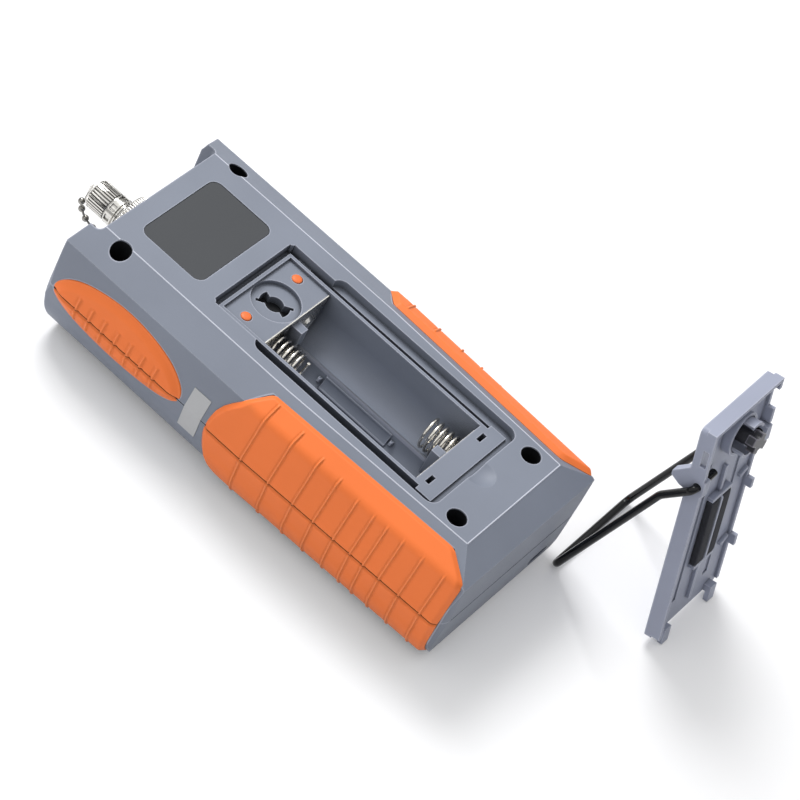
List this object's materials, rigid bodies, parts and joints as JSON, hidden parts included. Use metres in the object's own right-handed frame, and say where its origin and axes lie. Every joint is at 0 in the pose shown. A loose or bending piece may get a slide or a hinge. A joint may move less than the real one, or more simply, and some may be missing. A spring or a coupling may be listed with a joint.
{
  "type": "optical power meter",
  "caption": "Handheld optical power meter lying face down, battery cover with wire stand taken off and standing beside it.",
  "frame": {"origin": "on the surface it lies on, under the middle of the front face", "axes": "+Y towards the optical connector, +Z out of the back, +X right when looking at the back"},
  "size_m": [0.1058, 0.206, 0.081],
  "materials": {
    "case": "fine-textured blue-grey ABS",
    "grip": "soft orange overmould",
    "cover_plastic": "fine-textured blue-grey ABS",
    "lock_plastic": "dark grey, fine-textured",
    "foam": "black closed-cell foam",
    "stand_wire": "black satin coated steel wire",
    "marks": "orange inlay",
    "label": "dark grey satin film, blank",
    "seal": "silver film, blank",
    "screws": "black oxide steel",
    "contacts": "nickel plate",
    "connector_metal": "satin nickel plate",
    "ceramic": "white zirconia",
    "holder": "black anodised",
    "detector_can": "gold plate",
    "board": "green solder mask",
    "overlay": "dark grey satin film",
    "window": "clear acrylic",
    "display_frame": "black",
    "display_glass": "grey-green display glass",
    "keys": "grey silicone",
    "mat": "grey silicone",
    "port_metal": "tin plate"
  },
  "bodies": {
    "meter": {"adapter_barrel": "connector_metal", "adapter_flange": "connector_metal", "adapter_nut": "connector_metal", "ball_chain": "connector_metal", "battery_cover": "cover_plastic", "board_screws": "screws", "case_screws": "screws", "chain_ring": "connector_metal", "circuit_board": "board", "contact_lower": "contacts", "contact_upper": "contacts", "cover_pads": "foam", "detector": "detector_can", "detector_holder": "holder", "display_frame": "display_frame", "display_glass": "display_glass", "display_window": "window", "front_overlay": "overlay", "front_shell": "case", "keypad_mat": "mat", "lock_marks": "marks", "lower_grip_left_front": "grip", "lower_grip_left_rear": "grip", "lower_grip_right_front": "grip", "lower_grip_right_rear": "grip", "port_socket": "port_metal", "rating_label": "label", "rear_shell": "case", "seal_label": "seal", "split_sleeve": "ceramic", "spring_lower": "contacts", "spring_upper": "contacts", "upper_grip_left_front": "grip", "upper_grip_left_rear": "grip", "upper_grip_right_front": "grip", "upper_grip_right_rear": "grip"},
    "stand": {"stand_bail": "stand_wire"},
    "lock": {"cover_lock": "lock_plastic"},
    "swivel": {"cap_swivel": "connector_metal"},
    "cap": {"dust_cap": "connector_metal"},
    "key_backlight": {"key_backlight": "keys"},
    "key_power": {"key_power": "keys"},
    "key_reference": {"key_reference": "keys"},
    "key_store": {"key_store": "keys"},
    "key_unit": {"key_unit": "keys"},
    "key_wavelength": {"key_wavelength": "keys"}
  },
  "joints": [
    {"name": "stand_fold", "type": "hinge", "parent": "meter", "child": "stand", "pos_m": [0.047, -0.09892, 0.06162], "axis": [1, 0, 0], "range_deg": [-29.6, 0]},
    {"name": "lock_turn", "type": "hinge", "parent": "meter", "child": "lock", "pos_m": [0.047, -0.09529, 0.07061], "axis": [0, 0.9703, -0.2421], "range_deg": [0, 90]},
    {"name": "cap_travel", "type": "slide", "parent": "meter", "child": "swivel", "axis": [0, 1, 0], "range_m": [0, 0.009], "deforming": ["ball_chain"]},
    {"name": "cap_unscrew", "type": "hinge", "parent": "swivel", "child": "cap", "pos_m": [0, 0.0758, 0.0207], "axis": [0, 1, 0], "range_deg": [0, 4320]},
    {"name": "press_backlight", "type": "slide", "parent": "meter", "child": "key_backlight", "axis": [0, 0, 1], "range_m": [0, 0.0008], "stiffness_N_per_m": 800},
    {"name": "press_power", "type": "slide", "parent": "meter", "child": "key_power", "axis": [0, 0, 1], "range_m": [0, 0.0008], "stiffness_N_per_m": 800},
    {"name": "press_reference", "type": "slide", "parent": "meter", "child": "key_reference", "axis": [0, 0, 1], "range_m": [0, 0.0008], "stiffness_N_per_m": 800},
    {"name": "press_store", "type": "slide", "parent": "meter", "child": "key_store", "axis": [0, 0, 1], "range_m": [0, 0.0008], "stiffness_N_per_m": 800},
    {"name": "press_unit", "type": "slide", "parent": "meter", "child": "key_unit", "axis": [0, 0, 1], "range_m": [0, 0.0008], "stiffness_N_per_m": 800},
    {"name": "press_wavelength", "type": "slide", "parent": "meter", "child": "key_wavelength", "axis": [0, 0, 1], "range_m": [0, 0.0008], "stiffness_N_per_m": 800}
  ],
  "couplings": [
    {"joint": "cap_unscrew", "follows": "cap_travel", "rad_per_m": 8377.6}
  ]
}
